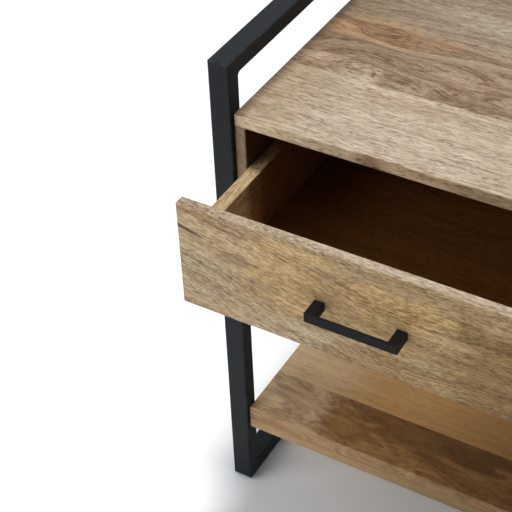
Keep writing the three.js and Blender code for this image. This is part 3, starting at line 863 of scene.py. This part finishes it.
class DressTop(bpy.types.Operator):
    """Gives the top panel its three planks of light mango wood"""

    bl_idname = "side_table.top"
    bl_label = "Top Panel"

    def execute(self, context):
        table = settings(context)
        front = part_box("top_panel")[0].y
        # Pale patches, brown heartwood in the middle plank and a cool patch in the rear plank.
        hearts = (
            Heart(-0.19, front + 0.13, 0.075, 0.03, (1.0, 0.99, 0.97)),
            Heart(-0.05, front + 0.03, 0.12, 0.05, (1.06, 1.09, 1.13), plank=0),
            Heart(-0.16, front + 0.218, 0.09, 0.026, (0.80, 0.65, 0.50)),
            Heart(-0.05, front + 0.29, 0.07, 0.03, (0.78, 0.80, 0.80)),
        )
        board = Board(
            "top_panel", "xyz", (front + 0.119, front + 0.241), (0.12, 0.8, 0.4),
            # The front face is painted lighter, painted light standing in for light from the
            # front; towards its right end it is darker, partly painted shade.
            faces=(
                Face("y", -1, (1.56, 1.58, 1.47)),
                Face("y", -1, (0.86, 0.74, 0.58), (-0.085, -0.065)),
                Face("y", -1, (1.6, 1.56, 1.36), (-0.06, -0.035)),
                Face("y", -1, (1.05, 1.0, 0.84), (0.01, 0.04)),
            ),
            hearts=hearts,
            # The top darkens towards its left end, and in a narrow band at each end.
            fades=(
                Fade(-0.15, -0.22, (0.97, 0.9, 0.82)),
                *(Fade(side * 0.207, side * 0.2235, DARK_END) for side in (-1, 1)),
            ),
            soak=0.02,
        )
        wood_material(board, table.top, table.seed)
        return {"FINISHED"}


class DressCabinet(bpy.types.Operator):
    """Gives the cabinet's sides, bottom and back their wood"""

    bl_idname = "side_table.cabinet"
    bl_label = "Cabinet"

    def execute(self, context):
        table = settings(context)
        low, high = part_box("left_side_panel")
        joint = low.z + 0.62 * (high.z - low.z)
        # The inner faces of the side panels are darkened with painted shade.
        boards = [
            Board(
                f"{side}_side_panel", "yzx", (joint,), (0.3, 0.5),
                faces=(Face("x", inward, PAINTED_CABINET_SHADE), Face("y", -1, (0.86, 0.89, 1.04))),
            )
            for side, inward in SIDES.items()
        ]
        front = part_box("cabinet_bottom")[0].y
        joints = (front + 0.13, front + 0.26)
        boards.append(Board("cabinet_bottom", "xyz", joints, (0.4, 0.2, 0.6)))
        low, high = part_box("back_panel")
        boards.append(Board("back_panel", "xzy", ((low.z + high.z) / 2,), (0.3, 0.5)))
        wood_materials(boards, table.cabinet, table.seed + 1)
        return {"FINISHED"}


class DressShelf(bpy.types.Operator):
    """Gives the lower shelf and the strips under its edges their warm wood"""

    bl_idname = "side_table.shelf"
    bl_label = "Lower Shelf"

    def execute(self, context):
        table = settings(context)
        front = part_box("shelf_board")[0].y
        # The front plank is pale at its left end, partly its own tone and partly painted light
        # from the left, and has dark heartwood along its middle.
        hearts = (
            Heart(-0.2, front + 0.04, 0.08, 0.09, (1.0, 1.22, 1.85), plank=0),
            # Painted light at the front corner, where the leg would shade it.
            Heart(-0.235, front + 0.02, 0.04, 0.04, (1.5, 1.95, 3.0), plank=0),
            Heart(-0.1, front + 0.03, 0.035, 0.02, (0.52, 0.44, 0.34), plank=0),
            Heart(0.0, front + 0.066, 0.13, 0.04, (0.34, 0.28, 0.19), plank=0),
        )
        boards = (
            Board(
                "shelf_board", "xyz", (front + 0.0745, front + 0.2), (0.85, 0.1, 0.4),
                faces=(
                    Face("y", -1, (0.65, 0.67, 0.88)),
                    # Painted shade: the front face darkens towards the right.
                    Face("y", -1, (0.42, 0.42, 0.48), (-0.08, 0.06)),
                ),
                hearts=hearts,
                fades=(
                    # Painted light at the left end of the second plank, and painted shade
                    # towards the right of the shelf.
                    Fade(-0.08, -0.165, (1.25, 1.52, 2.25), plank=1),
                    Fade(-0.06, 0.12, (0.58, 0.54, 0.44)),
                ),
                soak=0.004,
            ),
            Board(
                "shelf_front_lip", "xyz", figures=(0.15,),
                faces=(
                    Face("y", -1, (0.62, 0.68, 0.84)),
                    # Painted shade: the lip's front darkens towards the right.
                    Face("y", -1, (0.36, 0.41, 0.47), (-0.12, 0.08)),
                ),
            ),
            Board("shelf_rear_lip", "xyz", tones=(2, 2, 2)),
        )
        wood_materials(boards, table.shelf, table.seed + 10)
        return {"FINISHED"}


class DressDrawer(bpy.types.Operator):
    """Gives the drawer's front, sides, back and floor and the runners their wood"""

    bl_idname = "side_table.drawer"
    bl_label = "Drawer"

    def execute(self, context):
        table = settings(context)
        low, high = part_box("drawer_front")
        left, top = low.x, high.z
        # Pale and warm patches and two dark streaks near the left end; the dark patch at the
        # right is painted shade.
        hearts = (
            Heart(-0.03, top - 0.062, 0.12, 0.04, (1.06, 0.97, 0.80)),
            Heart(-0.19, top - 0.087, 0.06, 0.035, (1.0, 1.06, 1.16)),
            Heart(-0.055, top - 0.117, 0.075, 0.018, (1.14, 1.24, 1.4)),
            Heart(-0.07, top - 0.016, 0.06, 0.013, (1.3, 1.24, 1.08)),
            Heart(-0.148, top - 0.049, 0.02, 0.008, (0.74, 0.70, 0.66)),
            Heart(-0.112, top - 0.069, 0.022, 0.007, (0.8, 0.74, 0.68)),
            Heart(0.185, top - 0.092, 0.105, 0.09, (0.63, 0.55, 0.41)),
            Heart(0.035, top - 0.042, 0.06, 0.024, (1.34, 1.27, 1.12)),
            Heart(0.035, top - 0.119, 0.07, 0.02, (0.86, 0.8, 0.74)),
        )
        board = Board(
            "drawer_front", "xzy", figures=(0.22,),
            faces=(Face("z", 1, (1.0, 1.08, 1.35)),),
            hearts=hearts,
            # Painted shade, darker towards the right end.
            fades=(Fade(-0.02, 0.04, (0.93, 0.9, 0.8)),),
            sweep=(left - 0.09, left + 0.26, 0.046), soak=0.004,
        )
        wood_material(board, table.front, table.seed + 20, end_check)

        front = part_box("drawer_left_side")[0].y
        painted_shade_span = (front + 0.086, front + 0.11)
        boards = [
            Board(
                f"drawer_{side}_side", "yzx", figures=(0.25,),
                faces=(
                    # Painted light near the front of the inner faces, and painted shade
                    # further back under the top.
                    Face("x", inward, (1.38, 1.5, 1.5)),
                    Face("x", inward, PAINTED_DRAWER_SHADE, painted_shade_span),
                ),
            )
            for side, inward in SIDES.items()
        ]
        for side in SIDES:
            boards.append(Board(f"{side}_runner", "yzx", figures=(0.1,), tones=(2, 2, 2)))
        boards.append(Board("drawer_back", "xzy"))
        boards.append(Board("drawer_floor", "xyz", tones=(1, 1, 1)))
        wood_materials(boards, table.box, table.seed + 21)
        return {"FINISHED"}


class DressHandle(bpy.types.Operator):
    """Paints the pull handle black"""

    bl_idname = "side_table.handle"
    bl_label = "Pull Handle"

    def execute(self, context):
        steel = settings(context).steel
        paint = steel.handle_coat
        coated_steel("drawer_handle", "handle_paint", paint, steel, gloss=0.1, rub_and_highlight=0.1)
        return {"FINISHED"}


class DressFasteners(bpy.types.Operator):
    """Plates the screws with zinc and moulds the floor glides in black plastic"""

    bl_idname = "side_table.fasteners"
    bl_label = "Screws and Glides"

    def execute(self, context):
        fasteners = settings(context).fasteners
        zinc, plastic = zinc_plate(fasteners), black_plastic(fasteners)
        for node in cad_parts:
            if "screw" in node:
                dress(node, zinc)
            elif node.endswith("_glide"):
                dress(node, plastic)
        return {"FINISHED"}


OVERHEAD_PLACE = Vector((0.2, 0.1, 3))
GLOW_AIM = Vector((-0.7, 0.3, 0.8))
SIDE_LAMP_PLACE = Vector((-1.35, -1.55, 1.15))
SIDE_LAMP_AIM = Vector((0, -0.1, 0.35))
CAMERA_PLACE = Vector((0.45587, -1.16980, 1.43503))
CAMERA_AHEAD = Vector((-0.40611, 0.64906, -0.64326))
CAMERA_RIGHT = Vector((0.86268, 0.50449, -0.03560))


class SetStudio(bpy.types.Operator):
    """Lays the pale floor, lights the table softly from above and places the camera"""

    bl_idname = "side_table.studio"
    bl_label = "Studio"

    def execute(self, context):
        studio = settings(context).studio
        self.lay_floor(context, studio)
        self.fill_room(context, studio)
        self.hang_lamps(context, studio)
        self.place_camera(context, studio)
        context.scene.view_settings.view_transform = "Standard"
        return {"FINISHED"}

    def lay_floor(self, context, studio):
        half = studio.floor_size / 2
        corners = [(-half, -half, 0), (half, -half, 0), (half, half, 0), (-half, half, 0)]
        mesh = bpy.data.meshes.new("floor")
        mesh.from_pydata(corners, [], [(0, 1, 2, 3)])
        floor = bpy.data.objects.new("floor", mesh)
        context.scene.collection.objects.link(floor)
        material, r, shader = new_material("pale_floor")
        shader.inputs["Base Color"].default_value = (*studio.floor, 1)
        shader.inputs["Roughness"].default_value = 0.9
        shader.inputs["Specular IOR Level"].default_value = 0.0
        shader.inputs["Emission Color"].default_value = (*studio.floor_lift, 1)
        r.feed(shader.inputs["Emission Strength"], seen_directly(r))
        below = r.node("ShaderNodeNewGeometry").outputs["Backfacing"]
        r.feed(shader.inputs["Alpha"], r.minus(1.0, below))
        mesh.materials.append(material)

    def fill_room(self, context, studio):
        """A world that looks white, and gives a soft light with a wide glow on one side."""
        world = bpy.data.worlds.new("soft_room")
        world.use_nodes = True
        tree = world.node_tree
        tree.nodes.clear()
        r = Recipe(tree)
        background = r.node("ShaderNodeBackground")
        background.inputs["Color"].default_value = (1, 1, 1, 1)
        direction = r.node("ShaderNodeTexCoord").outputs["Generated"]
        toward = r.vector("DOT_PRODUCT", direction, tuple(GLOW_AIM.normalized()))
        room = r.between(r.remap(toward, 0.45, 0.97), studio.sky, studio.sky + studio.glow)
        r.feed(background.inputs["Strength"], r.between(seen_directly(r), room, 1.0))
        output = r.node("ShaderNodeOutputWorld")
        tree.links.new(background.outputs[0], output.inputs["Surface"])
        context.scene.world = world

    def hang_lamps(self, context, studio):
        overhead = bpy.data.lights.new("overhead_lamp", "SUN")
        overhead.energy = studio.overhead
        overhead.angle = studio.overhead_spread
        self.hang(context, overhead, OVERHEAD_PLACE, Vector())

        side = bpy.data.lights.new("side_lamp", "AREA")
        side.energy = studio.side_power
        side.size = studio.side_size
        self.hang(context, side, SIDE_LAMP_PLACE, SIDE_LAMP_AIM)

    def hang(self, context, lamp, place, aim):
        holder = bpy.data.objects.new(lamp.name, lamp)
        holder.location = place
        holder.rotation_euler = (aim - place).to_track_quat("-Z", "Y").to_euler()
        context.scene.collection.objects.link(holder)

    def place_camera(self, context, studio):
        camera = bpy.data.cameras.new("camera")
        camera.lens = studio.lens
        camera.sensor_width = 36.0
        camera.clip_start = 0.05
        camera.clip_end = 50.0
        ahead = CAMERA_AHEAD.normalized()
        right = (CAMERA_RIGHT - ahead * CAMERA_RIGHT.dot(ahead)).normalized()
        up = right.cross(ahead)
        turn = Matrix((right, up, -ahead)).transposed().to_4x4()
        holder = bpy.data.objects.new("camera", camera)
        holder.matrix_world = Matrix.Translation(CAMERA_PLACE) @ turn
        context.scene.collection.objects.link(holder)
        context.scene.camera = holder


PIECES = (  # each operator with the settings that are listed under it
    (MakeEffects, ()),
    (DressSideFrames, ("steel",)),
    (DressTop, ("top",)),
    (DressCabinet, ("cabinet",)),
    (DressShelf, ("shelf",)),
    (DressDrawer, ("front", "box")),
    (DressHandle, ()),
    (DressFasteners, ("fasteners",)),
    (SetStudio, ("studio",)),
)


class SideTablePanel(bpy.types.Panel):
    """Lists the pieces of the side table and their settings"""

    bl_idname = "VIEW3D_PT_side_table"
    bl_label = "Side Table"
    bl_space_type = "VIEW_3D"
    bl_region_type = "UI"
    bl_category = "Side Table"

    def draw(self, context):
        table = settings(context)
        self.layout.prop(table, "seed")
        for operator, groups in PIECES:
            box = self.layout.box()
            box.operator(operator.bl_idname)
            for group in groups:
                finish = getattr(table, group)
                for name in finish.bl_rna.properties.keys():
                    if name not in ("rna_type", "name"):
                        box.prop(finish, name)


CLASSES = (
    TopWood, FrontWood, CabinetWood, ShelfWood, BoxWood, SteelFinish, FastenerFinish,
    StudioSettings, TableSettings, *(operator for operator, _ in PIECES), SideTablePanel,
)


def register():
    for item in CLASSES:
        bpy.utils.register_class(item)
    bpy.types.Scene.side_table = PointerProperty(type=TableSettings)


def unregister():
    del bpy.types.Scene.side_table
    for item in reversed(CLASSES):
        bpy.utils.unregister_class(item)


def main():
    register()
    for operator, _ in PIECES:
        group, name = operator.bl_idname.split(".")
        getattr(getattr(bpy.ops, group), name)()


if __name__ == "__main__":
    main()
